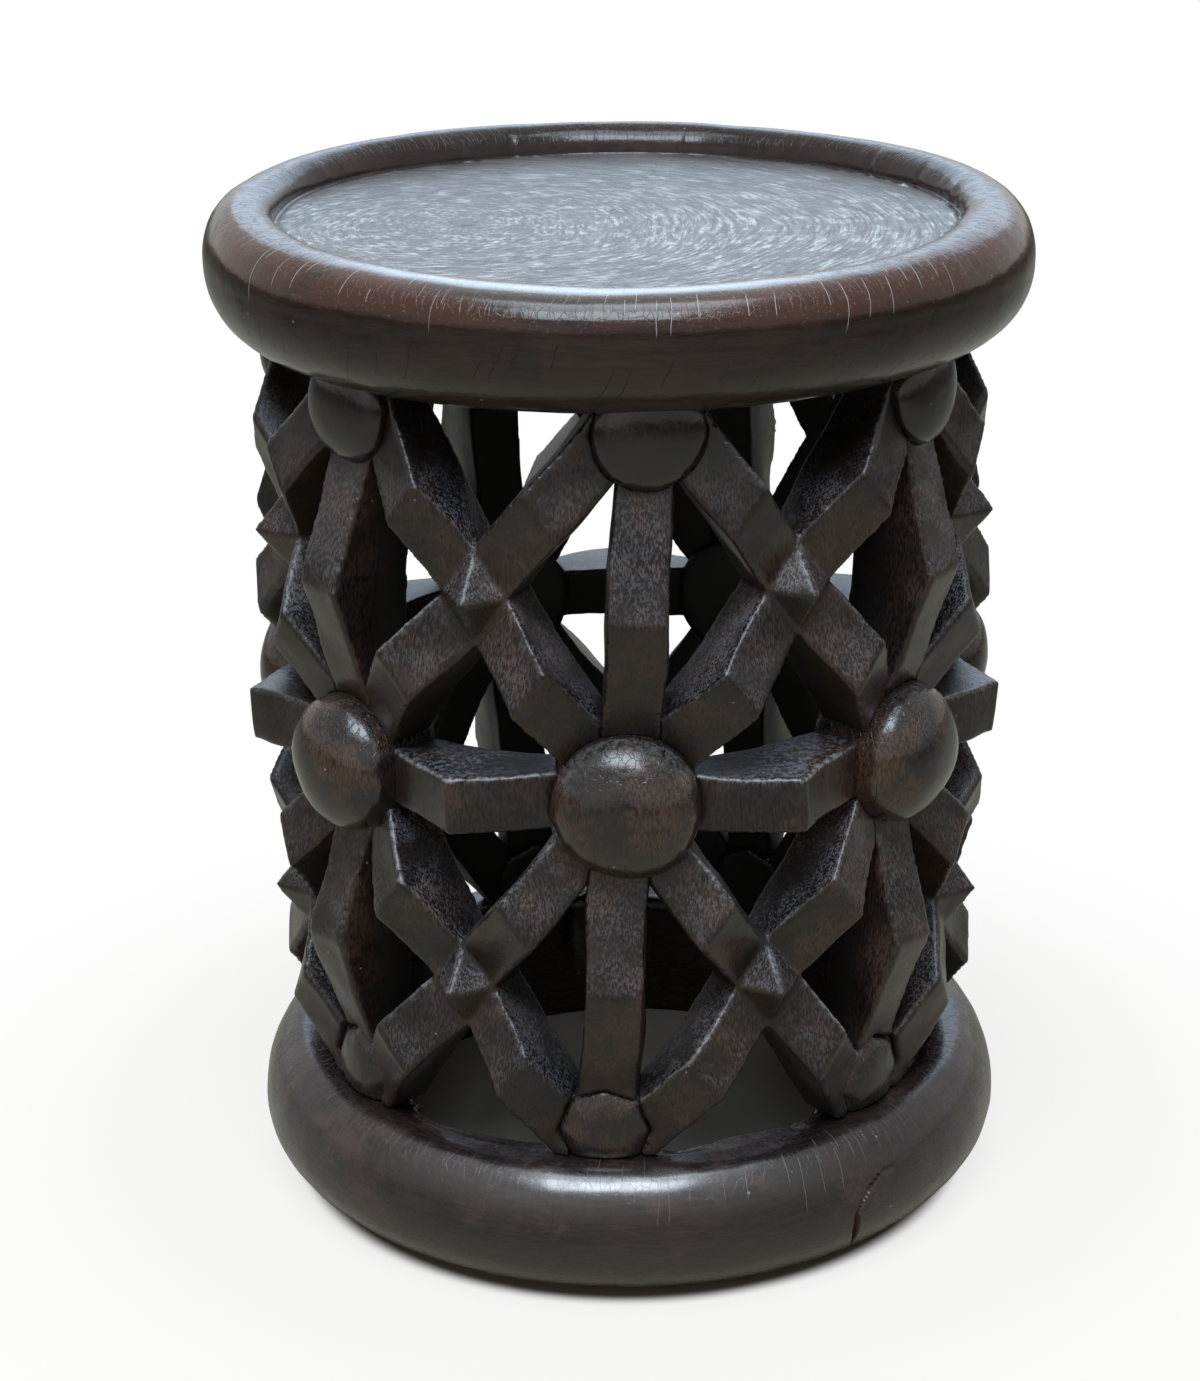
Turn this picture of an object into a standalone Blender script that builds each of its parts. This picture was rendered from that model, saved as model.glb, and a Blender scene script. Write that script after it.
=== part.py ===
"""Carved ceremonial stool: a dished round seat and a ring foot joined by an open drum of spiders.

Seven columns stand round the drum. Each one has a domed spider body at the waist, a cap under the
seat and a foot on the ring, joined by two posts. Waist bars link the spider bodies, and every panel
above and below the waist holds a cross of four kneed arms with a pyramid knot at its middle.
Metres, +Z up, front at -Y, origin under the middle of the ring where the stool meets the floor.
"""
import math

import bmesh
import bpy
from mathutils import Matrix, Vector

# Gap left between pieces that meet
CLEARANCE = 0.0003

# Seat: the widths are measured inwards from its widest line
STOOL_HEIGHT = 0.450
SEAT_RADIUS = 0.1765
SEAT_THICKNESS = 0.063
RIM_CREST_WIDTH = 0.0215
RIM_EQUATOR_DROP = 0.029
RIM_UNDER_WIDTH = 0.0355
RIM_WIDTH = 0.033
DISH_DEPTH = 0.013

# Foot ring: the widths are measured inwards from its widest line
RING_OVERHANG = 0.024
RING_HEIGHT = 0.063
RING_EQUATOR_HEIGHT = 0.030
RING_LAND_WIDTH = 0.022
RING_SOLE_WIDTH = 0.042
RING_WIDTH = 0.048
RING_HOLE_ROUND = 0.006

# Drum: columns, lean, bar widths, how far the arms run on into the seat and the ring, and how far
# each feature stands out from the bars' valleys
COLUMNS = 7
SEAT_OVERHANG = 0.0305
DRUM_TWIST = math.radians(27.0)
DRUM_FLARE = 0.010
BAR_DEPTH = 0.020
ARM_OVERRUN = 0.0097
POST_WIDTH = 0.023
ARM_WIDTH = 0.023
WAIST_BAR_WIDTH = 0.023
POST_KNEE = 0.017
ARM_KNEE = 0.015
END_KNEE = 0.012
WAIST_KNEE = 0.0205
KNOT_APEX = 0.0155

# Domed spider bodies, caps under the seat and feet on the ring: rims and crowns stand out from the
# bars' valleys too, and the feet sit a little behind them
BODY_RADIUS = 0.029
BODY_RIM = 0.004
BODY_CROWN = 0.0225
CAP_RADIUS = 0.022
CAP_DROP = 0.008
CAP_RIM = 0.001
CAP_CROWN = 0.010
FOOT_RADIUS = 0.0200
FOOT_RISE = 0.0125
FOOT_RIM = -0.005
FOOT_CROWN = 0.003

# Faces round each turned shape, and along each quarter of a rolled edge
SEAT_STEPS = 56
BODY_STEPS = 24
CAP_STEPS = 16
FOOT_STEPS = 8
ROLL_STEPS = 4
DOME_STEPS = 4
ROLL_FULLNESS = 2.15

WOOD = {
    "seat": ((0.060, 0.040, 0.034), 0.38),
    "ring": ((0.050, 0.036, 0.033), 0.40),
    "boss": ((0.052, 0.034, 0.028), 0.36),
    "bar": ((0.036, 0.029, 0.026), 0.46),
}

UP = Vector((0.0, 0.0, 1.0))
PITCH = math.tau / COLUMNS
# A turned outline starts at +X and a cone's first corner at +Y, a quarter turn apart
CONE_PHASE = 0.5 * math.pi

SEAT_UNDERSIDE = STOOL_HEIGHT - SEAT_THICKNESS
DISH_FLOOR = STOOL_HEIGHT - DISH_DEPTH
DRUM_RADIUS = SEAT_RADIUS - SEAT_OVERHANG
RING_RADIUS = DRUM_RADIUS + RING_OVERHANG
RING_HOLE_RADIUS = RING_RADIUS - RING_WIDTH
HALF_DRUM = 0.5 * (SEAT_UNDERSIDE - RING_HEIGHT)
WAIST_HEIGHT = RING_HEIGHT + HALF_DRUM
KNOT_RISE = 0.5 * (HALF_DRUM + ARM_OVERRUN)
UPPER_KNOT_HEIGHT = WAIST_HEIGHT + KNOT_RISE
LOWER_KNOT_HEIGHT = WAIST_HEIGHT - KNOT_RISE
CAP_HEIGHT = SEAT_UNDERSIDE - CAP_DROP
FOOT_HEIGHT = RING_HEIGHT + FOOT_RISE

# Rows of bosses: height, radius, rim, crown and faces round
BODIES = (WAIST_HEIGHT, BODY_RADIUS, BODY_RIM, BODY_CROWN, BODY_STEPS)
CAPS = (CAP_HEIGHT, CAP_RADIUS, CAP_RIM, CAP_CROWN, CAP_STEPS)
FEET = (FOOT_HEIGHT, FOOT_RADIUS, FOOT_RIM, FOOT_CROWN, FOOT_STEPS)


def clear_scene():
    """Remove every object that the file opened with."""
    for obj in list(bpy.data.objects):
        bpy.data.objects.remove(obj, do_unlink=True)


def new_collection(name):
    collection = bpy.data.collections.new(name)
    bpy.context.scene.collection.children.link(collection)
    return collection


def wood_material(name):
    """Dark oiled hardwood for one kind of piece."""
    colour, roughness = WOOD[name]
    material = bpy.data.materials.new(f"{name}_wood")
    material.use_nodes = True
    shader = material.node_tree.nodes["Principled BSDF"]
    shader.inputs["Base Color"].default_value = (*colour, 1.0)
    shader.inputs["Roughness"].default_value = roughness
    shader.inputs["Metallic"].default_value = 0.0
    return material


def add_part(name, mesh, wood):
    part = bpy.data.objects.new(name, mesh)
    mesh.materials.append(materials[wood])
    parts.objects.link(part)
    return part


def add_cutter(name, mesh):
    cutter = bpy.data.objects.new(name, mesh)
    cutter.hide_render = True
    cutter.display_type = "WIRE"
    cutters.objects.link(cutter)
    return cutter


def cut(part, *tools):
    """Leave the room that each neighbour in tools needs."""
    for tool in tools:
        boolean = part.modifiers.new(f"clear_{tool.name}", "BOOLEAN")
        boolean.operation = "DIFFERENCE"
        boolean.solver = "EXACT"
        boolean.object = tool


def valley_radius(height):
    """Distance of the bars' valleys from the stool's axis; the drum widens slightly upwards."""
    return DRUM_RADIUS + DRUM_FLARE * (height - WAIST_HEIGHT)


def column_angle(column, height):
    """Angle of a column from the front, counting the drum's slight twist."""
    return column * PITCH + DRUM_TWIST * (height - WAIST_HEIGHT)


def outward(angle):
    return Vector((math.sin(angle), -math.cos(angle), 0.0))


def tangent(angle):
    return Vector((math.cos(angle), math.sin(angle), 0.0))


def on_drum(angle, height, proud):
    """Point that stands proud of the bars' valleys by the given amount."""
    return outward(angle) * (valley_radius(height) + proud) + UP * height


def radial_axes(angle, height, distance=0.0):
    """Place whose Z axis points outwards from the stool's axis."""
    axes = Matrix((tangent(angle), UP, outward(angle))).transposed().to_4x4()
    return Matrix.Translation(outward(angle) * distance + UP * height) @ axes


def rolled(start, end, steps, fullness=2.0):
    """Quarter roll between two profile points: it leaves start level and reaches end upright."""
    points = []
    for step in range(steps + 1):
        turn = 0.5 * math.pi * step / steps
        along = math.sin(turn) ** (2.0 / fullness)
        down = 1.0 - math.cos(turn) ** (2.0 / fullness)
        points.append((start[0] + (end[0] - start[0]) * along, start[1] + (end[1] - start[1]) * down))
    return points


def profile_mesh(name, points, closed=False):
    """Outline in the XZ plane for a turned shape."""
    outline = bmesh.new()
    corners = [outline.verts.new((x, 0.0, z)) for x, z in points]
    for first, second in zip(corners, corners[1:]):
        outline.edges.new((first, second))
    if closed:
        outline.edges.new((corners[-1], corners[0]))
    mesh = bpy.data.meshes.new(name)
    outline.to_mesh(mesh)
    outline.free()
    return mesh


def turn(obj, steps):
    """Spin an outline about its own Z axis."""
    screw = obj.modifiers.new("turned", "SCREW")
    screw.axis = "Z"
    screw.steps = steps
    screw.render_steps = steps
    screw.use_merge_vertices = True
    screw.merge_threshold = 0.00001


def seat_mesh(name):
    """Dish floor, rolled rim and flat underside, from the middle of the dish to that of the underside."""
    equator = (SEAT_RADIUS, STOOL_HEIGHT - RIM_EQUATOR_DROP)
    crest = (SEAT_RADIUS - RIM_CREST_WIDTH, STOOL_HEIGHT)
    under_edge = (SEAT_RADIUS - RIM_UNDER_WIDTH, SEAT_UNDERSIDE)
    inner_roll = rolled(crest, (SEAT_RADIUS - RIM_WIDTH, DISH_FLOOR), ROLL_STEPS)
    outer_roll = rolled(crest, equator, ROLL_STEPS, ROLL_FULLNESS)
    under_roll = rolled(under_edge, equator, ROLL_STEPS, ROLL_FULLNESS)
    points = [(0.0, DISH_FLOOR)] + inner_roll[::-1] + outer_roll[1:] + under_roll[-2::-1]
    return profile_mesh(name, points + [(0.0, SEAT_UNDERSIDE)])


def ring_mesh(name):
    """Rolled ring with a flat sole, a flat land for the feet and a rounded edge to its hole."""
    equator = (RING_RADIUS, RING_EQUATOR_HEIGHT)
    upper_roll = rolled((RING_RADIUS - RING_LAND_WIDTH, RING_HEIGHT), equator, ROLL_STEPS, ROLL_FULLNESS)
    lower_roll = rolled((RING_RADIUS - RING_SOLE_WIDTH, 0.0), equator, ROLL_STEPS, ROLL_FULLNESS)
    hole_top = (RING_HOLE_RADIUS, RING_HEIGHT - RING_HOLE_ROUND)
    hole_roll = rolled((RING_HOLE_RADIUS + RING_HOLE_ROUND, RING_HEIGHT), hole_top, ROLL_STEPS)
    points = upper_roll + lower_roll[-2::-1] + [(RING_HOLE_RADIUS, 0.0)] + hole_roll[::-1]
    return profile_mesh(name, points, closed=True)


def add_boss(name, column, row):
    """Domed button whose back is level with the drum's inner wall beside it."""
    height, radius, rim, crown, steps = row
    valley = valley_radius(height)
    back = math.sqrt((valley - BAR_DEPTH) ** 2 - radius ** 2)
    dome = rolled((0.0, valley + crown), (radius, valley + rim), DOME_STEPS)
    part = add_part(name, profile_mesh(name, dome + [(radius, back), (0.0, back)]), "boss")
    turn(part, steps)
    part.matrix_world = radial_axes(column_angle(column, height), height)
    return part


def bar_section(angle, height, across, proud, depth=BAR_DEPTH):
    """Corners of a bar: the inner pair, then the outer pair; across runs along and up the drum."""
    sideways = 0.5 * (across[0] * tangent(angle) + across[1] * UP)
    return [on_drum(angle, height, out) + sideways * side for out in (-depth, proud) for side in (-1, 1)]


def face_between(verts):
    return next(face for face in verts[0].link_faces if set(face.verts) == set(verts))


def extrude_to(shape, end, corners):
    """Extrude the quad whose corners are the vertices in end, and move them to the given corners."""
    face = face_between(end)
    fresh = bmesh.ops.extrude_discrete_faces(shape, faces=[face])["faces"][0].verts
    matched = [min(fresh, key=lambda vert: (vert.co - old.co).length) for old in end]
    for vert, corner in zip(matched, corners):
        vert.co = corner
    return matched


def finish_mesh(shape, name):
    """Turn a bmesh into a mesh of triangles that all face out."""
    bmesh.ops.recalc_face_normals(shape, faces=shape.faces)
    bmesh.ops.triangulate(shape, faces=shape.faces)
    mesh = bpy.data.meshes.new(name)
    shape.to_mesh(mesh)
    shape.free()
    return mesh


def add_bar(shape, sections):
    """Loft a bar through its sections into shape: a block between the first two, then extrusions."""
    end = [None] * 4
    for vert in bmesh.ops.create_cube(shape, size=2.0)["verts"]:
        corner = 2 * (vert.co.z > 0.0) + (vert.co.x > 0.0)
        if vert.co.y > 0.0:
            end[corner] = vert
        vert.co = sections[vert.co.y > 0.0][corner]
    for section in sections[2:]:
        end = extrude_to(shape, end, section)


def bar_mesh(name, *bars):
    """Mesh of one bar, or of a whole row of them, from the sections of each."""
    shape = bmesh.new()
    for sections in bars:
        add_bar(shape, sections)
    return finish_mesh(shape, name)


def post_stations(rising):
    """Heights along a post, from the middle of its spider body to that of its cap or foot."""
    if rising:
        rim, end_rim, end = WAIST_HEIGHT + BODY_RADIUS, CAP_HEIGHT - CAP_RADIUS, CAP_HEIGHT
    else:
        rim, end_rim, end = WAIST_HEIGHT - BODY_RADIUS, FOOT_HEIGHT + FOOT_RADIUS, FOOT_HEIGHT
    return [WAIST_HEIGHT, rim, 0.5 * (rim + end_rim), end_rim, end]


def post_sections(column, rising):
    return [
        bar_section(column_angle(column, height), height, (POST_WIDTH, 0.0), proud)
        for height, proud in zip(post_stations(rising), (0.0, 0.0, POST_KNEE, 0.0, 0.0))
    ]


def post_room_sections(column, rising):
    """Straight slab that a post needs between the arms beside it, carried on past its cap or foot."""
    stations = post_stations(rising)
    stations.append(2.0 * stations[-1] - stations[-2])
    across = (POST_WIDTH + 2.0 * CLEARANCE, 0.0)
    return [
        bar_section(column_angle(column, height), height, across, 2.0 * KNOT_APEX, 2.0 * BAR_DEPTH)
        for height in stations
    ]


def waist_angles(column):
    """Angles along a waist bar, from one spider body to the next."""
    rim = BODY_RADIUS / DRUM_RADIUS
    start = column_angle(column, WAIST_HEIGHT)
    return [start, start + rim, start + 0.5 * PITCH, start + PITCH - rim, start + PITCH]


def waist_sections(column):
    """Level bar with its knee halfway."""
    return [
        bar_section(angle, WAIST_HEIGHT, (0.0, WAIST_BAR_WIDTH), proud)
        for angle, proud in zip(waist_angles(column), (0.0, 0.0, WAIST_KNEE, 0.0, 0.0))
    ]


def waist_room_sections(column):
    """Level slab that a waist bar needs between the arms, from inside one spider body to the next."""
    first, rim, middle, far_rim, last = waist_angles(column)
    across = (0.0, WAIST_BAR_WIDTH + 2.0 * CLEARANCE)
    return [
        bar_section(angle, WAIST_HEIGHT, across, 2.0 * KNOT_APEX, 2.0 * BAR_DEPTH)
        for angle in (0.5 * (first + rim), rim, middle, far_rim, 0.5 * (far_rim + last))
    ]


def cross_mesh(name, column, knot_height):
    """Knot with a pyramid face, and four kneed arms that run to the corners of its panel."""
    run, rise = 0.5 * PITCH * DRUM_RADIUS, abs(knot_height - WAIST_HEIGHT)
    length = math.hypot(run, rise)
    knot_angle = column_angle(column + 0.5, knot_height)
    half_run, half_rise = 0.5 * ARM_WIDTH * length / rise, 0.5 * ARM_WIDTH * length / run
    offsets = [(half_run, 0.0), (0.0, half_rise), (-half_run, 0.0), (0.0, -half_rise)]

    # The knot is a block on a lozenge plan: right, top, left and bottom corners
    shape = bmesh.new()
    plan = {(1, -1): 0, (1, 1): 1, (-1, 1): 2, (-1, -1): 3}
    inner, outer = [None] * 4, [None] * 4
    for vert in bmesh.ops.create_cube(shape, size=2.0)["verts"]:
        corner = plan[(round(vert.co.x), round(vert.co.y))]
        is_outer = vert.co.z > 0.0
        (outer if is_outer else inner)[corner] = vert
        sideways = offsets[corner][0] * tangent(knot_angle) + offsets[corner][1] * UP
        vert.co = on_drum(knot_angle, knot_height, 0.0 if is_outer else -BAR_DEPTH) + sideways

    # Arms leave between each corner and the next: up right, up left, down left, down right. Their
    # knees run along the knot's edges, which keeps the facets between them flat
    end_height = 2.0 * knot_height - WAIST_HEIGHT
    top, bottom = max(WAIST_HEIGHT, end_height), min(WAIST_HEIGHT, end_height)
    targets = [(column + 1, top), (column, top), (column, bottom), (column + 1, bottom)]
    rim = length - BODY_RADIUS
    distances = (0.5 * (0.5 * ARM_WIDTH + rim), rim, length)
    for index, (target, height) in enumerate(targets):
        target_angle = column_angle(target, height)
        following = (index + 1) % len(targets)
        across = [after - before for before, after in zip(offsets[index], offsets[following])]
        knee = ARM_KNEE if height == WAIST_HEIGHT else END_KNEE
        end = [inner[index], inner[following], outer[index], outer[following]]
        for distance, proud in zip(distances, (knee, 0.0, 0.0)):
            share = distance / length
            angle = knot_angle + (target_angle - knot_angle) * share
            level = knot_height + (height - knot_height) * share
            end = extrude_to(shape, end, bar_section(angle, level, across, proud))

    apex = bmesh.ops.poke(shape, faces=[face_between(outer)])["verts"][0]
    apex.co = on_drum(knot_angle, knot_height, KNOT_APEX)
    return finish_mesh(shape, name)


def boss_room(name, row):
    """The holes that a row of bosses needs, as one cutter that reaches past the bars on both sides."""
    height, radius, _, _, steps = row
    wide, middle = radius + CLEARANCE, valley_radius(height) + KNOT_APEX - BAR_DEPTH
    pieces = bmesh.new()
    for column in range(COLUMNS):
        place = radial_axes(column_angle(column, height), height, middle)
        bmesh.ops.create_cone(
            pieces, cap_ends=True, segments=steps, radius1=wide, radius2=wide,
            depth=2.0 * (KNOT_APEX + BAR_DEPTH), matrix=place @ Matrix.Rotation(CONE_PHASE, 4, "Z"))
    mesh = bpy.data.meshes.new(name)
    pieces.to_mesh(mesh)
    pieces.free()
    return add_cutter(name, mesh)


def bar_room(name, bars):
    """The slots that a row of bars needs, as one cutter."""
    return add_cutter(name, bar_mesh(name, *bars))


def turned_room(name, mesh, shift):
    """A turned neighbour moved by the clearance."""
    cutter = add_cutter(name, mesh)
    turn(cutter, SEAT_STEPS)
    cutter.location = UP * shift
    return cutter


clear_scene()
parts = new_collection("carved_stool")
cutters = new_collection("carved_stool_cutters")
materials = {name: wood_material(name) for name in WOOD}

seat_room = turned_room("seat_room", seat_mesh("seat_room"), -CLEARANCE)
ring_room = turned_room("ring_room", ring_mesh("ring_room"), CLEARANCE)
body_room = boss_room("body_room", BODIES)
cap_room = boss_room("cap_room", CAPS)
foot_room = boss_room("foot_room", FEET)
upper_post_room = bar_room("upper_post_room", [post_room_sections(c, True) for c in range(COLUMNS)])
lower_post_room = bar_room("lower_post_room", [post_room_sections(c, False) for c in range(COLUMNS)])
waist_room = bar_room("waist_room", [waist_room_sections(c) for c in range(COLUMNS)])

turn(add_part("seat", seat_mesh("seat"), "seat"), SEAT_STEPS)
turn(add_part("base_ring", ring_mesh("base_ring"), "ring"), SEAT_STEPS)

for column in range(COLUMNS):
    number = column + 1
    add_boss(f"spider_body_{number}", column, BODIES)
    cut(add_boss(f"seat_cap_{number}", column, CAPS), seat_room)
    cut(add_boss(f"ring_foot_{number}", column, FEET), ring_room)

    name = f"upper_post_{number}"
    cut(add_part(name, bar_mesh(name, post_sections(column, rising=True)), "bar"), body_room, cap_room)
    name = f"lower_post_{number}"
    cut(add_part(name, bar_mesh(name, post_sections(column, rising=False)), "bar"), body_room, foot_room)
    name = f"waist_bar_{number}"
    cut(add_part(name, bar_mesh(name, waist_sections(column)), "bar"), body_room)

    name = f"upper_cross_{number}"
    upper_cross = add_part(name, cross_mesh(name, column, UPPER_KNOT_HEIGHT), "bar")
    cut(upper_cross, body_room, cap_room, upper_post_room, waist_room, seat_room)
    name = f"lower_cross_{number}"
    lower_cross = add_part(name, cross_mesh(name, column, LOWER_KNOT_HEIGHT), "bar")
    cut(lower_cross, body_room, foot_room, lower_post_room, waist_room, ring_room)

print(f"{len(parts.objects)} pieces, {COLUMNS} columns, {STOOL_HEIGHT * 1000:.0f} mm tall")
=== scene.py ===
# %% [markdown]
# # A carved stool, cut from one log
# The CAD frame already holds every member of this stool at its true size: a dished seat, a ring foot,
# and between them seven columns of domed spider bodies with posts, level bars and crossed arms. Its
# faces are flat and its edges are razor sharp, as no knife leaves them. This lesson carves those
# members again as a wood carver would, with softened edges, uneven planes and drying checks, and
# gives them an oiled, nearly black hardwood skin.

# %% Load the frame
import math

import bmesh
import bpy
import numpy as np
from mathutils import Matrix, Vector


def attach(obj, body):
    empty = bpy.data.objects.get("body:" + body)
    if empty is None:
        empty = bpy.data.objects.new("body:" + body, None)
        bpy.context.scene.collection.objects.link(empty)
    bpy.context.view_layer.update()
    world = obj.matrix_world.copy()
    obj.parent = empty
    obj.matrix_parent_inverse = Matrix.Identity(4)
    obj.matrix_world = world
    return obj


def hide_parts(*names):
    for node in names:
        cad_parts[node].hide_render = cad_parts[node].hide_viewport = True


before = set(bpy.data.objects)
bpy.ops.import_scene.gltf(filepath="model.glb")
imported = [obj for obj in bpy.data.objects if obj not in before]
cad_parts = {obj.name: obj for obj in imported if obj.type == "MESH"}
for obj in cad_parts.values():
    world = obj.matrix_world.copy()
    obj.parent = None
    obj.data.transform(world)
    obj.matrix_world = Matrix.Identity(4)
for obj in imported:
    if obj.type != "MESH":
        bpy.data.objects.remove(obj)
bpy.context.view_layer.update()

# %% [markdown]
# ## The camera
# The picture was taken from a little over a metre away, looking down on the seat by about 20 degrees.
# A camera can be aimed with a Track To constraint, but a turn about the viewing axis is then awkward
# to add. Here the three axes of the camera are worked out from its yaw, pitch and roll, and set as the
# columns of its matrix.

# %% Camera
CAMERA_PLACE = Vector((0.0, -1.2361, 0.6782))
CAMERA_YAW, CAMERA_PITCH, CAMERA_ROLL = -0.0088, 0.355, -0.0150
CAMERA_LENS, CAMERA_SENSOR = 76.47, 36.0


def camera_axes(yaw, pitch, roll):
    ahead = Vector((math.sin(yaw) * math.cos(pitch), math.cos(yaw) * math.cos(pitch), -math.sin(pitch)))
    level = Vector((math.cos(yaw), -math.sin(yaw), 0.0))
    above = level.cross(ahead)
    right = math.cos(roll) * level + math.sin(roll) * above
    return Matrix((right, ahead.cross(right) * -1.0, -ahead)).transposed()


camera = bpy.data.objects.new("camera", bpy.data.cameras.new("camera"))
camera.data.sensor_width, camera.data.lens = CAMERA_SENSOR, CAMERA_LENS
camera.matrix_world = (
    Matrix.Translation(CAMERA_PLACE)
    @ camera_axes(CAMERA_YAW, CAMERA_PITCH, CAMERA_ROLL).to_4x4()
)
bpy.context.scene.collection.objects.link(camera)
bpy.context.scene.camera = camera
print("camera", math.degrees(CAMERA_PITCH), "degrees down")

# %% [markdown]
# ## Writing nodes as sums
# Wood needs a lot of arithmetic between textures. Dragging Math nodes about is slow, and scripts that
# link every socket by hand are hard to read. Two small helpers fix that: `Wire` stands for one socket
# and turns Python's operators into Math nodes, and `Graph.node` adds any other node. Both work on
# shader trees and on geometry trees.

# %% Wires and graphs
class Wire:
    """A socket that Python's operators work on; each one adds a Math node."""

    def __init__(self, graph, socket):
        self.graph, self.socket = graph, socket

    def math(self, operation, first, second=0.0):
        return self.graph.node("ShaderNodeMath", {"operation": operation}, {0: first, 1: second})

    def __add__(self, other):
        return self.math("ADD", self, other)

    def __sub__(self, other):
        return self.math("SUBTRACT", self, other)

    def __rsub__(self, other):
        return self.math("SUBTRACT", other, self)

    def __mul__(self, other):
        return self.math("MULTIPLY", self, other)

    def __truediv__(self, other):
        return self.math("DIVIDE", self, other)

    def __gt__(self, other):
        return self.math("GREATER_THAN", self, other)

    def __abs__(self):
        return self.math("ABSOLUTE", self)

    __radd__, __rmul__ = __add__, __mul__

    def step(self, low, high):
        """0 below low, 1 above high and smooth between; with low above high it runs the other way."""
        return self.graph.node(
            "ShaderNodeMapRange", {"interpolation_type": "SMOOTHSTEP"},
            {"Value": self, "From Min": low, "From Max": high})


class Graph:
    """A node tree that nodes are added to by type, settings and sockets."""

    def __init__(self, tree):
        self.tree = tree

    def socket(self, sockets, key):
        if isinstance(key, int):
            return sockets[key]
        return next(s for s in sockets if s.identifier == key or s.name == key)

    def node(self, kind, settings=None, inputs=None, output=0):
        node = self.tree.nodes.new(kind)
        for name, value in (settings or {}).items():
            setattr(node, name, value)
        for key, value in (inputs or {}).items():
            socket = self.socket(node.inputs, key)
            if isinstance(value, Wire):
                self.tree.links.new(value.socket, socket)
            else:
                socket.default_value = value
        return Wire(self, self.socket(node.outputs, output))

    def mix(self, share, first, second):
        """Blend of two colours."""
        return self.node(
            "ShaderNodeMix", {"data_type": "RGBA"},
            {"Factor_Float": share, "A_Color": first, "B_Color": second}, "Result_Color")

    def vector(self, operation, first, second=(0.0, 0.0, 0.0), output=0):
        return self.node("ShaderNodeVectorMath", {"operation": operation}, {0: first, 1: second}, output)

    def scaled(self, vector, factor):
        return self.node("ShaderNodeVectorMath", {"operation": "SCALE"}, {0: vector, "Scale": factor})

    def noise(self, place, scale, detail=2.0, rough=0.5, output="Fac"):
        return self.node(
            "ShaderNodeTexNoise", None,
            {"Vector": place, "Scale": scale, "Detail": detail, "Roughness": rough}, output)


print("helpers ready")

# %% [markdown]
# ## The wood
# The log is a dense tropical hardwood. Its fibres run up the stool, so the seat's floor is end grain,
# with growth rings round an off-centre pith, and the sides show long upright streaks. Smoke, oil and
# hands have turned it nearly black, and on the parts that are touched most the red-brown wood shows
# through again. Real wood is solid, so its pattern is read from Object coordinates in three
# dimensions, and every piece cut from the log shares it. Three attributes that the carving step
# stores say where the wood is on an edge, in a hollow, or facing up.

# %% Wood finish
# radii over which the inside of the drum fades into painted shade
INNER_SHADE_OUTER, INNER_SHADE_INNER = 0.151, 0.134
OIL_ROUGHNESS = 0.22


def attribute(graph, name):
    return graph.node("ShaderNodeAttribute", {"attribute_name": name}, None, "Fac")


def log_pattern(graph):
    """Textures of the log itself: place, mottling, grit, and a mask for painted shade inside the drum."""
    place = graph.node("ShaderNodeTexCoord", None, None, "Object")
    flat = graph.vector("MULTIPLY", place, (1.0, 1.0, 0.0))
    return {
        "place": place,
        "flat": flat,
        "mottle": graph.noise(place, 21.0, 4.0, 0.62),
        "blotch": graph.noise(place, 95.0, 3.0, 0.6),
        "grit": graph.noise(place, 420.0, 3.0, 0.7),
        "inner_shade": graph.vector("LENGTH", flat, output="Value").step(INNER_SHADE_OUTER, INNER_SHADE_INNER),
    }


def crackle(graph, place, scale, stretch):
    """1 along the fine cracks of an old oil skin, 0 between them."""
    bent = graph.vector("ADD", place, graph.scaled(graph.noise(place, 160.0, 2.0, output="Color"), 0.006))
    edge = graph.node(
        "ShaderNodeTexVoronoi", {"feature": "DISTANCE_TO_EDGE"},
        {"Vector": graph.vector("MULTIPLY", bent, stretch), "Scale": scale}, "Distance")
    return edge.step(0.045, 0.010)


def specks(graph, place, scale, share, size):
    """Scattered dots: a cell has one if its own random number is high enough."""
    cell = graph.node("ShaderNodeTexVoronoi", None, {"Vector": place, "Scale": scale}, "Color")
    near = graph.node("ShaderNodeTexVoronoi", None, {"Vector": place, "Scale": scale}, "Distance")
    draw = graph.node("ShaderNodeSeparateColor", None, {"Color": cell}, "Red")
    return (draw > 1.0 - share) * near.step(size, 0.6 * size)


def new_wood(name):
    material = bpy.data.materials.new(name)
    material.use_nodes = True
    return material, Graph(material.node_tree)


def finish_wood(material, graph, colour, rough, height, depth, specular, oil=None):
    """Wire a finish to its shader; oil is where a film of oil lies on the wood as a coat."""
    shader = material.node_tree.nodes["Principled BSDF"]
    bump = graph.node("ShaderNodeBump", None, {"Strength": 1.0, "Distance": depth, "Height": height})
    links = material.node_tree.links
    links.new(colour.socket, shader.inputs["Base Color"])
    links.new(rough.socket, shader.inputs["Roughness"])
    links.new(bump.socket, shader.inputs["Normal"])
    shader.inputs["Specular IOR Level"].default_value = specular
    if oil is not None:
        links.new(oil.socket, shader.inputs["Coat Weight"])
        shader.inputs["Coat Roughness"].default_value = OIL_ROUGHNESS
    return material


def parts_of(graph, kind, value):
    """The three numbers of a vector or a colour."""
    return [graph.node(kind, None, {0: value}, index) for index in range(3)]


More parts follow.
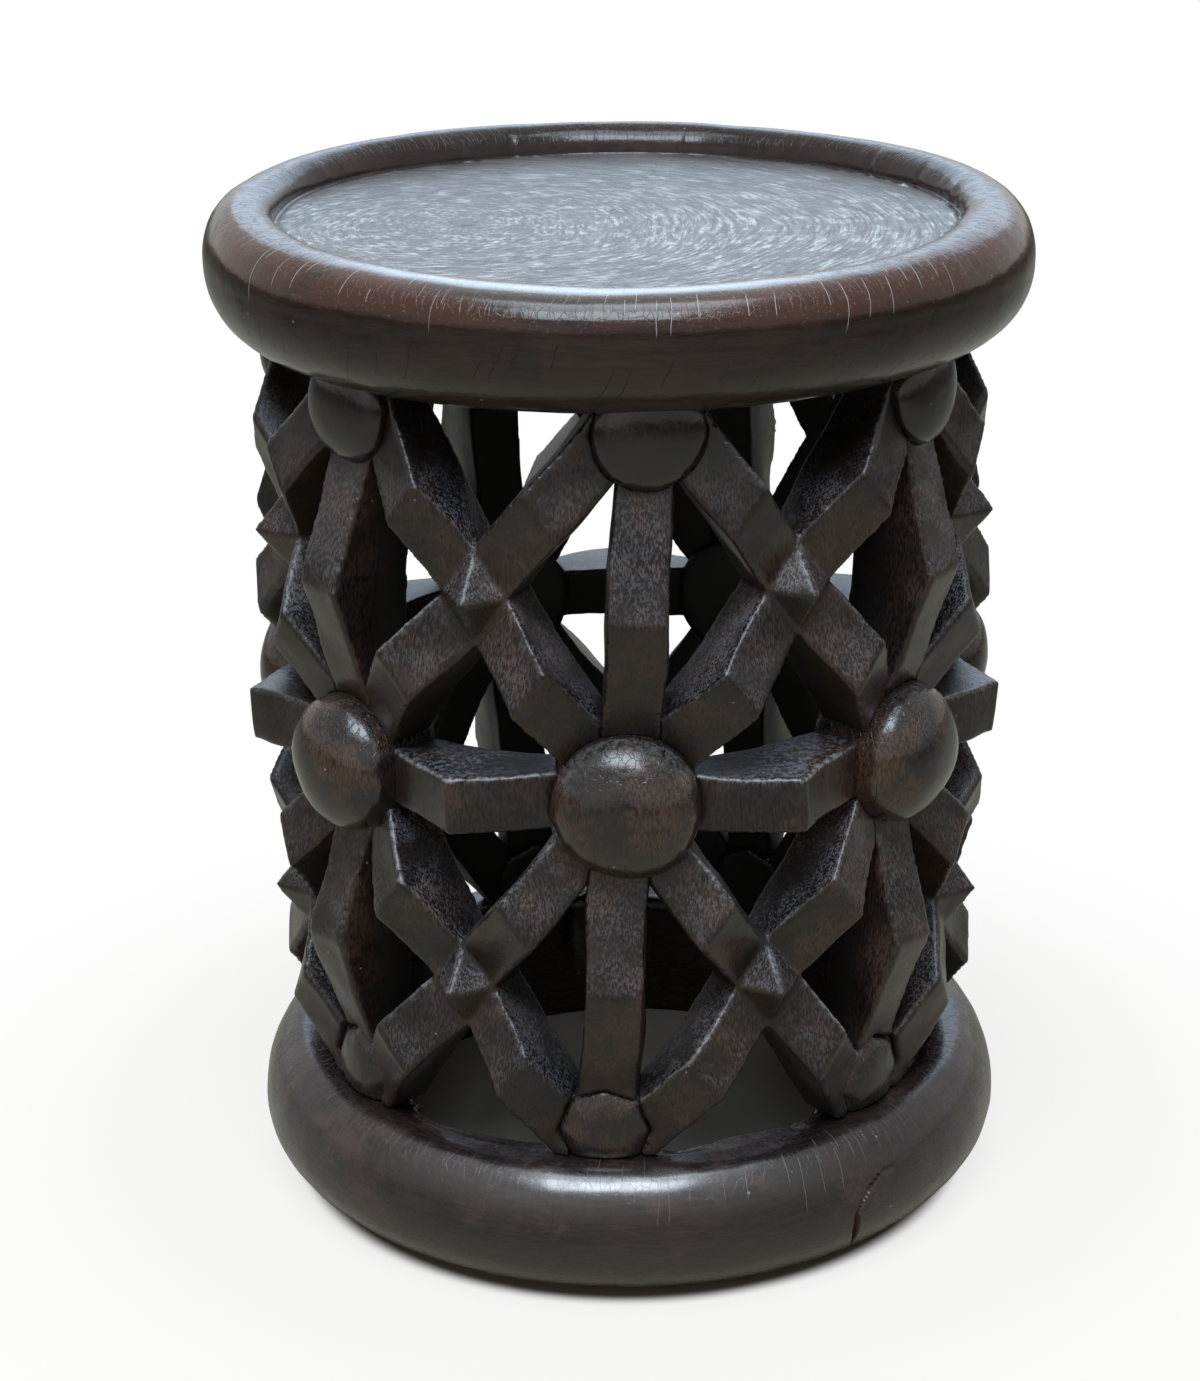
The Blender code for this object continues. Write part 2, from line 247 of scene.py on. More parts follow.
def checks_round(graph, place, along, cells, share, start, end, width, slant):
    """1 on thin lines across the way round the stool, between two values of along."""
    x, y, _ = parts_of(graph, "ShaderNodeSeparateXYZ", place)
    turn = x.math("ARCTAN2", x, y * -1.0)
    sway = (graph.noise(place, 45.0, 1.0) - 0.5) * 0.8
    count = turn * (cells / math.tau) + sway + along * slant
    cell = count.math("FLOOR", count)
    draws = graph.node("ShaderNodeTexWhiteNoise", {"noise_dimensions": "1D"}, {"W": cell}, "Color")
    spot, length, strength = parts_of(graph, "ShaderNodeSeparateColor", draws)
    line = abs(count - cell - (spot * 0.6 + 0.2)).step(width, 0.3 * width)
    middle = start + (end - start) * (0.2 + 0.6 * spot)
    reach = (end - start) * (0.1 + 0.4 * length)
    inside = (abs(along - middle) / reach).step(1.0, 0.6)
    return line * inside * (strength > 1.0 - share)


# %% [markdown]
# ## The bars' and domes' wood
# Oil and smoke have made the members nearly black. Faces that look up hold a grey-blue bloom that is
# broken by the strands of the wood, partly dust and partly a painted sheen of the sky. Faces that look
# down are smooth, and painted bounce light makes them warmer. The inside of the drum and the part
# under the seat have painted shade, mixed towards near black. A few edges that hands reach and that
# face up are painted pale, partly rubbed wear and partly a painted highlight. The domes differ only in
# tone, gloss and crackle, so one function makes both finishes.

# %% Bar and dome finishes
WAIST_HEIGHT = 0.225
# heights over which the painted shadow of the seat fades in on the parts below it
SEAT_SHADOW_START, SEAT_SHADOW_END = 0.335, 0.372
STRAND_STRETCH = (1.0, 1.0, 0.22)


def bar_wood(name, dark, mid, warm, dust_and_sheen_share, base_rough, crackled, specular):
    material, graph = new_wood(name)
    log = log_pattern(graph)
    place, grit = log["place"], log["grit"]
    ridge, hollow, up = (attribute(graph, key) for key in ("ridge", "hollow", "facing_up"))
    # painted shade inside the drum, weaker on faces that look up
    inner_shade = log["inner_shade"] * (1.0 - 0.8 * up.step(0.1, 0.5))
    height = graph.node("ShaderNodeSeparateXYZ", None, {0: place}, "Z")

    strands = graph.noise(graph.vector("MULTIPLY", place, STRAND_STRETCH), 1300.0, 2.0, 0.6)
    clumps = graph.noise(place, 48.0, 3.0, 0.65)
    tone = log["mottle"].step(0.36, 0.66) * 0.4 + strands.step(0.42, 0.6) * 0.6
    colour = graph.mix(tone, dark, mid)
    warm_patch = (clumps + log["mottle"] * 0.7 - 0.35).step(0.46, 0.66) * strands.step(0.3, 0.62)
    colour = graph.mix(warm_patch * 0.75, colour, warm)
    fibre = strands + (grit - strands) * up.step(0.7, 0.95)
    # grey-blue on faces that look up: partly dust, partly a painted sheen of the sky
    dust_and_sheen = up.step(-0.1, 0.7) * (fibre * 0.7 + grit * 0.3).step(0.49, 0.56) * clumps.step(0.32, 0.56)
    colour = graph.mix(dust_and_sheen * dust_and_sheen_share, colour, (0.135, 0.140, 0.165, 1.0))
    # painted bounce light: faces that look down are mixed towards a warmer, lighter brown
    colour = graph.mix(up.step(-0.05, -0.5) * 0.45, colour, (0.027, 0.021, 0.014, 1.0))
    # pale on ridges that face up: partly rubbed wear, partly a painted highlight
    handled_and_lit = graph.noise(place, 17.0, 2.0).step(0.46, 0.6) * up.step(0.2, 0.55)
    rubbed = ridge.step(0.25, 0.7) * handled_and_lit * grit.step(0.35, 0.6)
    colour = graph.mix(rubbed * 0.7, colour, (0.22, 0.21, 0.205, 1.0))
    colour = graph.mix(hollow.step(0.2, 0.8) * 0.8, colour, (0.006, 0.005, 0.004, 1.0))
    dots = specks(graph, place, scale=210.0, share=0.025, size=0.14)
    colour = graph.mix(dots * 0.7, colour, (0.24, 0.22, 0.19, 1.0))
    cracks = checks_round(
        graph, place, height - WAIST_HEIGHT,
        cells=330.0, share=0.3, start=-0.034, end=-0.002, width=0.06, slant=30.0)
    colour = graph.mix(cracks * 0.85, colour, (0.004, 0.003, 0.003, 1.0))
    # painted shade: the drum's inside and the parts under the seat are mixed towards near black
    under_seat_shade = height.step(SEAT_SHADOW_START, SEAT_SHADOW_END)
    painted_shade = inner_shade.math("MAXIMUM", inner_shade * 0.88, under_seat_shade * 0.7)
    colour = graph.mix(painted_shade, colour, (0.004, 0.0035, 0.003, 1.0))

    scars = crackle(graph, place, 300.0, (1.0, 1.0, 0.35)) * up.step(0.1, 0.5) * crackled
    rough = base_rough + (strands - 0.5) * 0.3 + hollow.step(0.1, 0.8) * 0.25 + inner_shade * 0.3 + scars * 0.1
    strand_height = strands * (0.4 - 0.28 * crackled) * up.step(-0.3, 0.3)
    relief = strand_height + grit * 0.12 + log["blotch"] * 0.8 - scars * 0.3 - cracks * 0.6
    return finish_wood(material, graph, colour, rough, relief, depth=0.0003, specular=specular)


lattice_wood = bar_wood(
    "lattice_wood", dark=(0.005, 0.004, 0.0035, 1.0), mid=(0.024, 0.015, 0.011, 1.0),
    warm=(0.056, 0.028, 0.018, 1.0), dust_and_sheen_share=0.60, base_rough=0.31, crackled=0.0, specular=0.28)
boss_wood = bar_wood(
    "boss_wood", dark=(0.006, 0.005, 0.0045, 1.0), mid=(0.019, 0.012, 0.009, 1.0),
    warm=(0.070, 0.034, 0.018, 1.0), dust_and_sheen_share=0.12, base_rough=0.20, crackled=1.0, specular=0.38)
print("finishes", lattice_wood.name, boss_wood.name)

# %% [markdown]
# ## The seat's and ring's wood
# The two turned members carry more history than the bars. Their rolls have fine radial checks, where
# the wood dried faster outside than inside, and these cross the crest like ticks on a dial. The seat's
# rim is rubbed to red-brown by hands, and its floor has gone grey. The lines are drawn by the angle
# round the stool: the circle is cut into many narrow cells, each cell draws random numbers from its
# own count, and these give its line a place, a length and a strength. Brush marks run round the stool
# instead, so they are read from a place on a plain circle, with the way along the outline as height.
# The crests in front and the flakes of the floor still hold a film of oil, which is the shader's coat.

# %% Places on a roll
ROLL_CIRCLE = 0.165


def roll_place(graph, log, along, stretch):
    """Place on a roll as a point on one circle, with the distance along the outline as its height."""
    around = graph.scaled(graph.vector("NORMALIZE", log["flat"]), ROLL_CIRCLE)
    outward = graph.node("ShaderNodeCombineXYZ", None, {"Z": along})
    return graph.vector("MULTIPLY", graph.vector("ADD", around, outward), stretch)


def near_angle(graph, log, degrees, half_width):
    """1 towards one direction from the axis, fading to 0 over the half width in degrees."""
    angle = math.radians(degrees)
    heading = graph.vector("NORMALIZE", log["flat"])
    facing = graph.vector("DOT_PRODUCT", heading, (math.sin(angle), -math.cos(angle), 0.0), "Value")
    return facing.step(math.cos(math.radians(half_width)), 1.0)


# %% Seat finish
PITH = (-0.050, -0.014, 0.0)
SEAT_SHINE, SEAT_OILED = (-8.0, 26.0), (-6.0, 46.0)
PALE_ANGLES = ((22.0, 34.0), (-45.0, 26.0))
RUBBED_ANGLES = ((-52.0, 26.0), (-24.0, 16.0), (27.0, 22.0), (50.0, 20.0), (140.0, 40.0))


def growth_streaks(graph, log):
    """Broken arcs round the pith of the log, and the growth bands that they lie in."""
    bent = graph.vector("ADD", log["flat"], graph.scaled(
        graph.noise(log["place"], 8.0, 1.0, output="Color"), 0.030))
    from_pith = graph.vector("SUBTRACT", bent, PITH)
    x, y, _ = parts_of(graph, "ShaderNodeSeparateXYZ", from_pith)
    radius = graph.vector("LENGTH", from_pith, output="Value")
    turn = x.math("ARCTAN2", y, x)
    polar = graph.node("ShaderNodeCombineXYZ", None, {"X": radius * 56.0, "Y": turn * 0.8})
    streaks = graph.noise(polar, 9.0, 5.0, 0.7)
    bands = graph.node(
        "ShaderNodeTexNoise", {"noise_dimensions": "1D"},
        {"W": radius, "Scale": 75.0, "Detail": 4.0, "Roughness": 0.65}, "Fac")
    return streaks, bands


def seat_finish(name):
    """Red-brown rubbed rim, and a grey end-grain floor with growth rings and scratches."""
    material, graph = new_wood(name)
    log = log_pattern(graph)
    place, grit, blotch = log["place"], log["grit"], log["blotch"]
    hollow, up, floor, along = (attribute(graph, key) for key in ("hollow", "facing_up", "floor", "along"))
    brush = graph.noise(roll_place(graph, log, along, (0.15, 0.15, 1.0)), 620.0, 3.0, 0.65)

    tone = log["mottle"].step(0.36, 0.64) * 0.5 + brush.step(0.35, 0.65) * 0.5
    rim = graph.mix(tone, (0.006, 0.004, 0.0035, 1.0), (0.024, 0.012, 0.009, 1.0))
    patches = sum(near_angle(graph, log, *spot) for spot in RUBBED_ANGLES)
    shine = near_angle(graph, log, *SEAT_SHINE)
    band = (along - shine * 0.014).step(-0.004, 0.008) * along.step(0.038, 0.024)
    touched = graph.noise(place, 24.0, 4.0, 0.65) + brush * 0.5 + patches * 0.22 - 0.25
    rubbed = touched.step(0.42, 0.66) * band
    rim = graph.mix(rubbed * 0.8, rim, (0.046, 0.015, 0.008, 1.0))
    flecks = graph.noise(place, 800.0, 2.0, 0.6).step(0.58, 0.66)
    rim = graph.mix(band * flecks * grit.step(0.42, 0.6) * 0.35, rim, (0.24, 0.15, 0.11, 1.0))
    # painted bounce light: the lower side of the rim is mixed towards a paler khaki
    rim = graph.mix(along.step(0.046, 0.066) * 0.55, rim, (0.036, 0.028, 0.019, 1.0))
    pale_side = sum(near_angle(graph, log, *spot) for spot in PALE_ANGLES) + 0.12
    checks = pale_side * checks_round(
        graph, place, along, cells=190.0, share=0.6, start=-0.006, end=0.034, width=0.05, slant=12.0)
    rim = graph.mix(checks * 0.8, rim, (0.30, 0.27, 0.25, 1.0))
    cracks = checks_round(
        graph, place, along, cells=150.0, share=0.45, start=0.036, end=0.066, width=0.030, slant=60.0)
    rim = graph.mix(cracks * 0.75, rim, (0.006, 0.005, 0.004, 1.0))

    streaks, bands = growth_streaks(graph, log)
    shade = bands.step(0.36, 0.64) * 0.4 + streaks.step(0.38, 0.6) * 0.45 + grit * 0.15
    grey = graph.mix(shade, (0.026, 0.022, 0.020, 1.0), (0.086, 0.078, 0.073, 1.0))
    grey = graph.mix(log["mottle"].step(0.52, 0.72) * 0.4, grey, (0.045, 0.039, 0.034, 1.0))
    scratch = streaks.step(0.53, 0.61) * (grit * 0.3 + blotch * 0.7).step(0.40, 0.56)
    grey = graph.mix(scratch * 0.5, grey, (0.25, 0.24, 0.23, 1.0))
    heart = graph.vector("LENGTH", graph.vector("SUBTRACT", log["flat"], PITH), output="Value")
    grey = graph.mix(heart.step(0.070, 0.020) * 0.35, grey, (0.058, 0.056, 0.047, 1.0))
    pits = specks(graph, place, scale=120.0, share=0.10, size=0.16)
    grey = graph.mix(pits * 0.8, grey, (0.020, 0.018, 0.017, 1.0))
    colour = graph.mix(floor, rim, grey)
    colour = graph.mix(hollow.step(0.25, 0.8) * 0.45, colour, (0.010, 0.008, 0.007, 1.0))
    dots = specks(graph, place, scale=190.0, share=0.05, size=0.13)
    colour = graph.mix(dots * 0.6, colour, (0.26, 0.23, 0.20, 1.0))

    skin = roll_place(graph, log, along, (1.0, 1.0, 0.3))
    scars = crackle(graph, skin, 290.0, (1.0, 1.0, 1.0)) * up.step(0.2, 0.8)
    rough = 0.19 + (brush - 0.5) * 0.16 + floor * (0.16 + (0.5 - streaks) * 0.35) + scars * 0.1
    rim_height = grit * 0.05 + brush * 0.09 + blotch * 0.5 - scars * 0.12 - checks * 0.4 - cracks * 0.7
    floor_height = bands.step(0.3, 0.7) * 0.5 + streaks * 1.3 + grit * 0.5 + blotch * 0.6 - pits * 1.2
    relief = rim_height + floor * (floor_height - rim_height)
    flakes = streaks.step(0.44, 0.60) * (grit * 0.4 + blotch * 0.6).step(0.42, 0.58)
    crest = along.step(-0.012, -0.002) * along.step(0.022, 0.008) * near_angle(graph, log, *SEAT_OILED)
    oil = floor * (0.05 + 0.66 * flakes) + (1.0 - floor) * crest
    return finish_wood(material, graph, colour, rough, relief, depth=0.0005, specular=0.28, oil=oil)


seat_wood = seat_finish("seat_wood")
print("finish", seat_wood.name)


# %% Ring finish
RING_DUSTY, RING_OILED = (16.0, 30.0), (-3.0, 44.0)


def ring_finish(name):
    """Purple-brown ring: crackled oil skin, dusty checks, a split, and painted bounce light on the lower
    half.
    """
    material, graph = new_wood(name)
    log = log_pattern(graph)
    place, grit = log["place"], log["grit"]
    hollow, up, along, split = (attribute(graph, key) for key in ("hollow", "facing_up", "along", "split"))
    brush = graph.noise(roll_place(graph, log, along, (0.15, 0.15, 1.0)), 560.0, 3.0, 0.65)

    tone = log["mottle"].step(0.34, 0.66) * 0.5 + brush.step(0.35, 0.65) * 0.5
    colour = graph.mix(tone, (0.006, 0.0045, 0.0045, 1.0), (0.023, 0.014, 0.013, 1.0))
    patch = (graph.noise(place, 30.0, 4.0, 0.65) + grit * 0.3).step(0.66, 0.84)
    colour = graph.mix(patch * 0.5, colour, (0.075, 0.041, 0.038, 1.0))
    # painted bounce light: the lower half of the ring is mixed towards a paler khaki
    colour = graph.mix(along.step(0.036, 0.048) * 0.6, colour, (0.036, 0.029, 0.021, 1.0))
    dusty_side = near_angle(graph, log, *RING_DUSTY) + 0.25
    checks = dusty_side * checks_round(
        graph, place, along, cells=210.0, share=0.6, start=-0.002, end=0.030, width=0.05, slant=14.0)
    colour = graph.mix(checks * 0.6, colour, (0.16, 0.148, 0.14, 1.0))
    colour = graph.mix(hollow.step(0.25, 0.8) * 0.7, colour, (0.010, 0.008, 0.007, 1.0))
    dots = specks(graph, place, scale=160.0, share=0.06, size=0.12)
    colour = graph.mix(dots * 0.7, colour, (0.3, 0.27, 0.24, 1.0))
    raw_wood = graph.mix(grit.step(0.35, 0.65), (0.005, 0.003, 0.002, 1.0), (0.10, 0.042, 0.022, 1.0))
    colour = graph.mix(split.step(0.15, 0.5), colour, raw_wood)

    skin = roll_place(graph, log, along, (1.0, 1.0, 0.35))
    scars = crackle(graph, skin, 250.0, (1.0, 1.0, 1.0)) * up.step(0.0, 0.6)
    rough = 0.27 + (brush - 0.5) * 0.2 + scars * 0.1 + split * 0.4
    relief = grit * 0.06 + brush * 0.10 + log["blotch"] * 0.6 - scars * 0.14 - checks * 0.4
    crest = along.step(-0.008, 0.002) * along.step(0.030, 0.014) * near_angle(graph, log, *RING_OILED)
    return finish_wood(material, graph, colour, rough, relief, depth=0.0004, specular=0.40, oil=crest)


ring_wood = ring_finish("ring_wood")
print("finish", ring_wood.name)

# %% [markdown]
# ## Carving with Geometry Nodes
# A knife never leaves a perfect plane: each face is a little hollow or full, and each edge wanders. One
# Geometry Nodes tree does that to every member. It bends the wood with a slow noise, scoops it with
# shallow cells like those of an adze, and grows it by a fraction of a millimetre, so that the narrow
# gaps of the CAD model close. The noise is read at the point's own place in the log, so neighbours
# move together, and it is slight near the seat and the ring, which were kept truer. Before that the
# tree compares each point with the average of the points round it: a point that stands out is an edge,
# and one that lies back is a hollow. The finishes darken the hollows and lighten some edges, partly as
# rubbed wear and partly as a painted highlight. These numbers, and how far the face looks up, are
# stored for the shader.

# %% Carving tree
CARVING_INPUTS = ("Swell", "Wobble", "Wobble Scale", "Cut Depth", "Cut Scale", "Edge Height", "Seed")
FLOOR_FADE = 0.012
DRUM_FOOT, DRUM_HEAD, DRUM_FADE = 0.066, 0.383, 0.025
TRUE_SHARE = 0.3
EDGE_BLUR = 6


def carving_tree():
    tree = bpy.data.node_groups.new("hand_carved", "GeometryNodeTree")
    graph = Graph(tree)
    tree.interface.new_socket("Geometry", in_out="INPUT", socket_type="NodeSocketGeometry")
    for name in CARVING_INPUTS:
        tree.interface.new_socket(name, in_out="INPUT", socket_type="NodeSocketFloat")
    tree.interface.new_socket("Wood", in_out="INPUT", socket_type="NodeSocketMaterial")
    tree.interface.new_socket("Geometry", in_out="OUTPUT", socket_type="NodeSocketGeometry")
    given = tree.nodes.new("NodeGroupInput")
    take = {name: Wire(graph, given.outputs[name]) for name in CARVING_INPUTS}

    place = graph.node("GeometryNodeInputPosition")
    normal = graph.node("GeometryNodeInputNormal")
    around = graph.node(
        "GeometryNodeBlurAttribute", {"data_type": "FLOAT_VECTOR"}, {"Value": place, "Iterations": EDGE_BLUR})
    proud = graph.vector("DOT_PRODUCT", graph.vector("SUBTRACT", place, around), normal, "Value")
    share = proud / take["Edge Height"]
    shape = Wire(graph, given.outputs["Geometry"])
    height = graph.node("ShaderNodeSeparateXYZ", None, {0: place}, "Z")
    facing = graph.node("ShaderNodeSeparateXYZ", None, {0: normal}, "Z")
    for name, value in (("ridge", share), ("hollow", share * -1.0), ("facing_up", facing)):
        shape = graph.node(
            "GeometryNodeStoreNamedAttribute", {"data_type": "FLOAT", "domain": "POINT"},
            {"Geometry": shape, "Name": name, "Value": value})

    bend = graph.node(
        "ShaderNodeTexNoise", {"noise_dimensions": "4D"},
        {"Vector": place, "W": take["Seed"], "Scale": take["Wobble Scale"], "Detail": 1.0}, "Color")
    drum = height.step(DRUM_FOOT, DRUM_FOOT + DRUM_FADE) * height.step(DRUM_HEAD, DRUM_HEAD - DRUM_FADE)
    freedom = TRUE_SHARE + (1.0 - TRUE_SHARE) * drum
    bend = graph.scaled(graph.vector("SUBTRACT", bend, (0.5, 0.5, 0.5)), take["Wobble"] * freedom * 2.0)
    scoop = graph.node(
        "ShaderNodeTexVoronoi", {"voronoi_dimensions": "4D", "feature": "SMOOTH_F1"},
        {"Vector": place, "W": take["Seed"], "Scale": take["Cut Scale"], "Smoothness": 0.4}, "Distance")
    lift = take["Swell"] + (scoop - 0.5) * take["Cut Depth"]
    move = graph.vector("ADD", bend, graph.scaled(normal, lift))
    move = graph.scaled(move, height.step(0.0, FLOOR_FADE))
    shape = graph.node("GeometryNodeSetPosition", None, {"Geometry": shape, "Offset": move})

    shape = graph.node("GeometryNodeRealizeInstances", None, {"Geometry": shape})
    shape = graph.node(
        "GeometryNodeSetMaterial", None,
        {"Geometry": shape, "Material": Wire(graph, given.outputs["Wood"])})
    result = tree.nodes.new("NodeGroupOutput")
    tree.links.new(shape.socket, result.inputs["Geometry"])
    return tree


carving = carving_tree()
socket_names = {item.name: item.identifier for item in carving.interface.items_tree if item.in_out == "INPUT"}
print("carving tree with", len(carving.nodes), "nodes")


# %% Carve one piece
CARVE_SEED = 3.7


def carve(piece, wood, swell, wobble, wobble_size, cut_depth, cut_size, edge_height):
    """Run the carving tree on a piece and keep its result as a plain mesh."""
    modifier = piece.modifiers.new("hand_carved", "NODES")
    modifier.node_group = carving
    values = (swell, wobble, 1.0 / wobble_size, cut_depth, 1.0 / cut_size, edge_height, CARVE_SEED)
    for name, value in zip(CARVING_INPUTS, values):
        modifier[socket_names[name]] = value
    modifier[socket_names["Wood"]] = wood
    keep_result(piece)


def keep_result(piece):
    """Swap a piece's modifiers for the mesh that they make."""
    evaluated = piece.evaluated_get(bpy.context.evaluated_depsgraph_get())
    made = bpy.data.meshes.new_from_object(evaluated)
    rough_mesh = piece.data
    piece.modifiers.clear()
    piece.data = made
    bpy.data.meshes.remove(rough_mesh)
    made.shade_smooth()


def place_piece(piece, node):
    """A carved piece rides on the one body and stands in for its CAD node, which is hidden."""
    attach(piece, "root")
    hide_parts(node)


def new_piece(name, mesh):
    piece = bpy.data.objects.new(name, mesh)
    bpy.context.scene.collection.objects.link(piece)
    return piece


# %% [markdown]
# ## Posts, bars, crosses and feet
# These members have flat facets that meet at knees and knots. A Bevel modifier would soften their
# edges, but the CAD faces are cut into long triangles, which bevels badly. A voxel Remesh rebuilds the
# surface from small even squares, a short Smooth rounds each edge by about a millimetre, and the
# carving tree does the rest.

# %% Carve the lattice
VOXEL = 0.0012
EDGE_SMOOTHING = 7
LATTICE = ("upper_post", "lower_post", "waist_bar", "upper_cross", "lower_cross", "ring_foot")
COLUMNS = 7
LATTICE_CUTS = {
    "swell": 0.0005, "wobble": 0.0034, "wobble_size": 0.050,
    "cut_depth": 0.0005, "cut_size": 0.015, "edge_height": 0.0007,
}


def softened(node):
    """Copy of a CAD node, rebuilt from small squares with rounded edges."""
    shape = bmesh.new()
    shape.from_mesh(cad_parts[node].data)
    bmesh.ops.remove_doubles(shape, verts=shape.verts, dist=1e-6)
    mesh = bpy.data.meshes.new(f"carved_{node}")
    shape.to_mesh(mesh)
    shape.free()
    piece = new_piece(f"carved_{node}", mesh)
    remesh = piece.modifiers.new("small_squares", "REMESH")
    remesh.mode, remesh.voxel_size, remesh.use_smooth_shade = "VOXEL", VOXEL, True
    smooth = piece.modifiers.new("worn_edges", "SMOOTH")
    smooth.factor, smooth.iterations = 0.5, EDGE_SMOOTHING
    return piece


lattice_faces = 0
for kind in LATTICE:
    wood, slot = (boss_wood, "boss_wood") if kind == "ring_foot" else (lattice_wood, "bar_wood")
    for number in range(1, COLUMNS + 1):
        node = f"{kind}_{number}"
        piece = softened(node)
        carve(piece, wood, **LATTICE_CUTS)
        place_piece(piece, node)
        lattice_faces += len(piece.data.polygons)
print("lattice faces", lattice_faces)

# %% [markdown]
# ## Spider bodies and caps
# These are the polished domes that the legs of the pattern meet. The CAD domes have a few flat rings;
# here the same outline is turned with many steps, so that the dome is smooth before it is carved.

# %% Turned outlines
def rolled(start, end, steps, fullness=2.0):
    """Quarter roll between two outline points: it leaves start level and reaches end upright."""
    turn = np.linspace(0.0, 0.5 * math.pi, steps + 1)
    along = np.sin(turn) ** (2.0 / fullness)
    down = 1.0 - np.abs(np.cos(turn)) ** (2.0 / fullness)
    run, rise = end[0] - start[0], end[1] - start[1]
    return [(start[0] + run * a, start[1] + rise * d) for a, d in zip(along, down)]


def straight(start, end, steps):
    """Points from start to end, without start itself."""
    shares = np.linspace(0.0, 1.0, steps + 1)[1:]
    return [(start[0] + (end[0] - start[0]) * s, start[1] + (end[1] - start[1]) * s) for s in shares]


def even_angles(columns):
    return np.linspace(0.0, math.tau, columns, endpoint=False)


def grid_faces(rows, columns, closed):
    """Corners of the quads of a turned grid; its columns always close on themselves."""
    row, column = np.meshgrid(np.arange(rows if closed else rows - 1), np.arange(columns), indexing="ij")
    after_row, after_column = (row + 1) % rows, (column + 1) % columns
    corners = (row * columns + column, after_row * columns + column,
               after_row * columns + after_column, row * columns + after_column)
    return np.stack([corner.ravel() for corner in corners], axis=1)


def turned_mesh(name, angle, radius, height, closed, attributes=None):
    """Mesh of a grid of outline points: columns have an angle, points a radius and a height."""
    rows, columns = radius.shape
    points = np.stack([radius * np.sin(angle), -radius * np.cos(angle), height], axis=2).reshape(-1, 3)
    faces = grid_faces(rows, columns, closed).tolist()
    if not closed:
        faces += [list(range(columns)), list(range((rows - 1) * columns, rows * columns))]
    mesh = bpy.data.meshes.new(name)
    mesh.from_pydata(points.tolist(), [], faces)
    for key, values in (attributes or {}).items():
        layer = mesh.attributes.new(key, "FLOAT", "POINT")
        layer.data.foreach_set("value", np.broadcast_to(values, (rows, columns)).ravel().astype(np.float32))
    shape = bmesh.new()
    shape.from_mesh(mesh)
    bmesh.ops.triangulate(shape, faces=[face for face in shape.faces if len(face.verts) > 4])
    bmesh.ops.recalc_face_normals(shape, faces=shape.faces)
    shape.to_mesh(mesh)
    shape.free()
    return mesh


# %% Domes
DRUM_RADIUS, DRUM_FLARE, BAR_DEPTH = 0.146, 0.010, 0.020
DRUM_TWIST, PITCH = math.radians(27.0), math.tau / COLUMNS
SEAT_UNDERSIDE, CAP_SINK = 0.387, 0.005
DOMES = {
    "spider_body": (WAIST_HEIGHT, 0.029, 0.004, 0.0225),
    "seat_cap": (0.379, 0.022, 0.001, 0.010),
}
DOME_COLUMNS = 120
DOME_POLE = 0.0005
DOME_CUTS = {**LATTICE_CUTS, "swell": 0.0004, "cut_depth": 0.0004, "edge_height": 0.0005}


def column_angle(column, height):
    return column * PITCH + DRUM_TWIST * (height - WAIST_HEIGHT)


def dome_mesh(name, column, height, radius, rim, crown):
    """Domed button set in the drum, with its axis pointing outwards."""
    valley = DRUM_RADIUS + DRUM_FLARE * (height - WAIST_HEIGHT)
    back = math.sqrt((valley - BAR_DEPTH) ** 2 - radius ** 2)
    outline = rolled((DOME_POLE, valley + crown), (radius, valley + rim), steps=26)
    outline += straight((radius, valley + rim), (radius, back), steps=12)
    outline += straight((radius, back), (DOME_POLE, back), steps=10)
    points = np.array(outline)[:, :, None] * np.ones(DOME_COLUMNS)
    mesh = turned_mesh(name, even_angles(DOME_COLUMNS), points[:, 0], points[:, 1], False)
    angle = column_angle(column, height)
    out = Vector((math.sin(angle), -math.cos(angle), 0.0))
    across = Vector((math.cos(angle), math.sin(angle), 0.0))
    axes = Matrix((across, Vector((0.0, 0.0, 1.0)), out)).transposed().to_4x4()
    mesh.transform(Matrix.Translation((0.0, 0.0, height)) @ axes)
    return mesh


def trim_top(mesh, level):
    """Cut a mesh level where it would run up into the seat."""
    shape = bmesh.new()
    shape.from_mesh(mesh)
    everything = shape.verts[:] + shape.edges[:] + shape.faces[:]
    cut = bmesh.ops.bisect_plane(
        shape, geom=everything, plane_co=(0.0, 0.0, level), plane_no=(0.0, 0.0, 1.0), clear_outer=True)
    edges = [item for item in cut["geom_cut"] if isinstance(item, bmesh.types.BMEdge)]
    bmesh.ops.triangulate(shape, faces=bmesh.ops.contextual_create(shape, geom=edges)["faces"])
    bmesh.ops.recalc_face_normals(shape, faces=shape.faces)
    shape.to_mesh(mesh)
    shape.free()


for kind, sizes in DOMES.items():
    for column in range(COLUMNS):
        node = f"{kind}_{column + 1}"
        mesh = dome_mesh(f"carved_{node}", column, *sizes)
        if kind == "seat_cap":
            trim_top(mesh, SEAT_UNDERSIDE + CAP_SINK)
        piece = new_piece(f"carved_{node}", mesh)
        carve(piece, boss_wood, **DOME_CUTS)
        place_piece(piece, node)
print("domes", 2 * COLUMNS)

# %% [markdown]
# ## The seat
# The seat is a thick disc with a fat rolled rim round a shallow dish. A Screw modifier turns such an
# outline in one step, but this seat was cut by eye, so its rim swells and thins on the way round, it is
# worn nearly flush with the dish in front, where the dish was cut wider, and the corner between the
# dish and its floor is chipped.
# Here the outline is laid out as a grid of points with NumPy, one column for each angle, and each
# column may differ a little.

